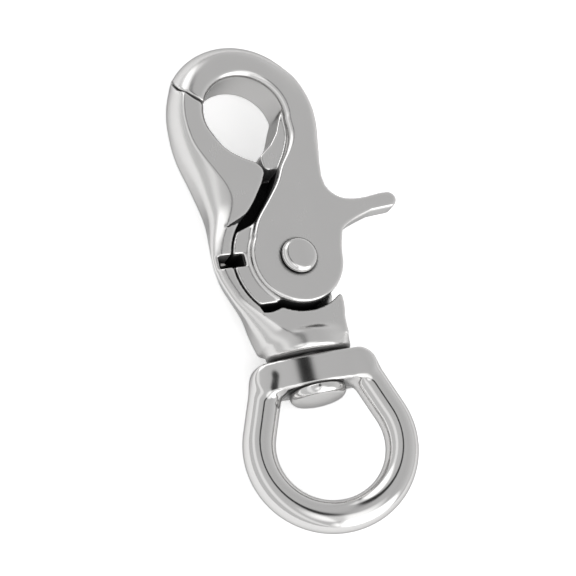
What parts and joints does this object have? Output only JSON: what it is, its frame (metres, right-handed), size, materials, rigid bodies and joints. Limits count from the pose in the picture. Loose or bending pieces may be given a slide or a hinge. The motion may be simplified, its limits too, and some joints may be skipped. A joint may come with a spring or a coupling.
{
  "type": "trigger snap hook with swivel eye",
  "caption": "Scissor-action trigger snap hook in polished stainless steel, with a round eye that swivels on a headed stem.",
  "frame": {"origin": "centre of the floor box, on the plane of the fixed jaw's flat back", "axes": "+X along the swivel axis from the eye to the hook, +Y towards the fixed jaw's side, +Z out of the front face with the rivet head"},
  "size_m": [0.0902, 0.0368, 0.0135],
  "materials": {
    "jaw_steel": "mirror-polished stainless steel casting, left dull grey in the slot, the seams and the spring pocket",
    "eye_steel": "mirror-polished stainless steel casting",
    "rivet_steel": "turned and polished stainless steel",
    "spring_wire": "drawn stainless spring wire"
  },
  "bodies": {
    "hook_body": {"fixed_jaw": "jaw_steel", "pivot_rivet": "rivet_steel", "swivel_rivet": "rivet_steel", "trigger_spring": "spring_wire"},
    "trigger": {"moving_jaw": "jaw_steel"},
    "eye": {"swivel_eye": "eye_steel"}
  },
  "joints": [
    {"name": "trigger_open", "type": "hinge", "parent": "hook_body", "child": "trigger", "pos_m": [0.00248, 0.00247, 0.0083], "axis": [0, 0, -1], "range_deg": [0, 27], "stiffness_Nm_per_rad": 0.12, "springref_deg": -34.38, "deforming": ["trigger_spring"]},
    {"name": "eye_swivel", "type": "hinge", "parent": "hook_body", "child": "eye", "pos_m": [-0.01732, 0.00247, 0.0059], "axis": [1, 0, 0], "continuous": true}
  ]
}
